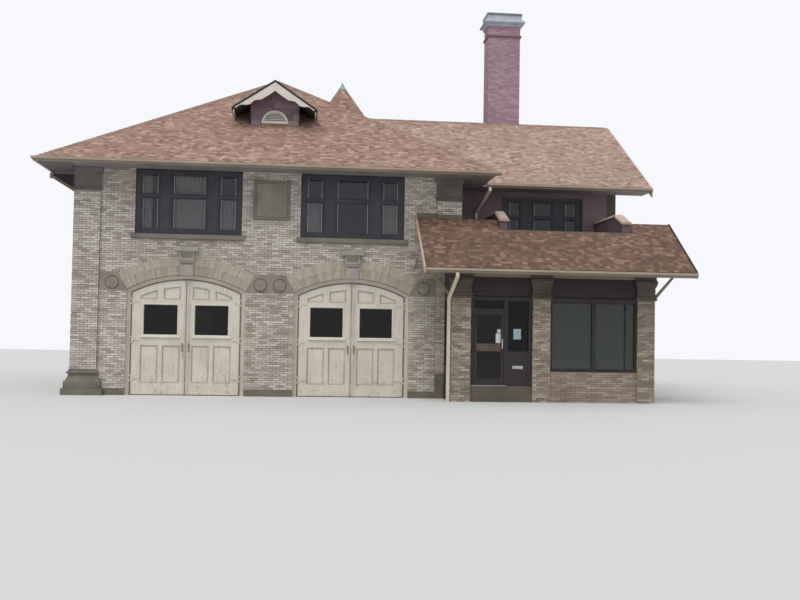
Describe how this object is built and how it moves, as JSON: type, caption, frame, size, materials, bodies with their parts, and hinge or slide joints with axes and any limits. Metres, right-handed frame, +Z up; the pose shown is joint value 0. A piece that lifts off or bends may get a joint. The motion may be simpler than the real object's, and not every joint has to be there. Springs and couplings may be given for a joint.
{
  "type": "fire station building",
  "caption": "Two-storey brick fire station with arched vehicle doors, hipped shingle roofs and a low shop-fronted wing under a pent roof.",
  "frame": {"origin": "middle of the underside of the vehicle house floor, on the ground", "axes": "+X to the right along the front towards the wing, -Y out of the front, +Z up"},
  "size_m": [18.85, 18.08, 13.76],
  "materials": {
    "stone": "cut limestone, weathered",
    "buff_brick": "buff brick in mortar",
    "concrete": "floated concrete",
    "shingles": "mineral-faced shingles",
    "cream_paint": "painted wood",
    "eaves_paint": "painted boards",
    "gutter_metal": "painted sheet",
    "dark_frame": "dark painted wood",
    "dark_boards": "painted shingle boards",
    "window_glass": "clear window glass",
    "red_brick": "red brick",
    "cap_stone": "grey stone, weathered",
    "patina_metal": "weathered copper",
    "roof_sheet": "flat roofing sheet"
  },
  "bodies": {
    "station": {"keystones": "stone", "spandrel_stones": "stone", "pier_bases": "stone", "pier_capitals": "stone", "plinth": "stone", "window_sills": "stone", "plaque": "stone", "front_jamb_walls": "buff_brick", "front_arch_wall": "buff_brick", "front_upper_walls": "buff_brick", "left_wall": "buff_brick", "right_wall": "buff_brick", "back_wall": "buff_brick", "corner_piers": "buff_brick", "door_arches": "buff_brick", "wing_front_wall": "buff_brick", "wing_right_wall": "buff_brick", "wing_back_wall": "buff_brick", "tower_walls": "buff_brick", "house_floor": "concrete", "upper_floor": "concrete", "wing_floor": "concrete", "main_roof": "shingles", "wing_roof": "shingles", "pent_roof": "shingles", "tower_roof": "shingles", "dormer_roof": "shingles", "door_casings": "cream_paint", "trim_boards": "cream_paint", "dormer_vent": "cream_paint", "eave_soffits": "eaves_paint", "fascias": "eaves_paint", "pent_brackets": "eaves_paint", "gutters": "gutter_metal", "downspouts": "gutter_metal", "front_windows": "dark_frame", "single_windows": "dark_frame", "shop_frames": "dark_frame", "wing_header": "dark_frame", "wing_side_wall": "dark_frame", "dormer_walls": "dark_boards", "wing_upper_wall": "dark_boards", "pent_cheeks": "dark_boards", "front_window_glass": "window_glass", "single_window_glass": "window_glass", "wing_glass": "window_glass", "chimney": "red_brick", "chimney_cap": "cap_stone", "tower_cap": "patina_metal", "wing_deck": "roof_sheet"},
    "left_door_leaf_a": {"left_door_leaf_a": "cream_paint", "left_door_leaf_a_glass": "window_glass"},
    "left_door_leaf_b": {"left_door_leaf_b": "cream_paint", "left_door_leaf_b_glass": "window_glass"},
    "right_door_leaf_a": {"right_door_leaf_a": "cream_paint", "right_door_leaf_a_glass": "window_glass"},
    "right_door_leaf_b": {"right_door_leaf_b": "cream_paint", "right_door_leaf_b_glass": "window_glass"},
    "entry_door": {"entry_door": "dark_frame", "entry_door_glass": "window_glass"}
  },
  "joints": [
    {"name": "left_door_leaf_a_hinge", "type": "hinge", "parent": "station", "child": "left_door_leaf_a", "pos_m": [-3.98, -7.17, 1.62], "axis": [0, 0, -1], "range_deg": [0, 90]},
    {"name": "left_door_leaf_b_hinge", "type": "hinge", "parent": "station", "child": "left_door_leaf_b", "pos_m": [-0.872, -7.17, 1.62], "axis": [0, 0, 1], "range_deg": [0, 90]},
    {"name": "right_door_leaf_a_hinge", "type": "hinge", "parent": "station", "child": "right_door_leaf_a", "pos_m": [0.872, -7.17, 1.62], "axis": [0, 0, -1], "range_deg": [0, 90]},
    {"name": "right_door_leaf_b_hinge", "type": "hinge", "parent": "station", "child": "right_door_leaf_b", "pos_m": [3.98, -7.17, 1.62], "axis": [0, 0, 1], "range_deg": [0, 90]},
    {"name": "entry_door_hinge", "type": "hinge", "parent": "station", "child": "entry_door", "pos_m": [5.885, -8.64, 1.55], "axis": [0, 0, -1], "range_deg": [0, 90]}
  ]
}
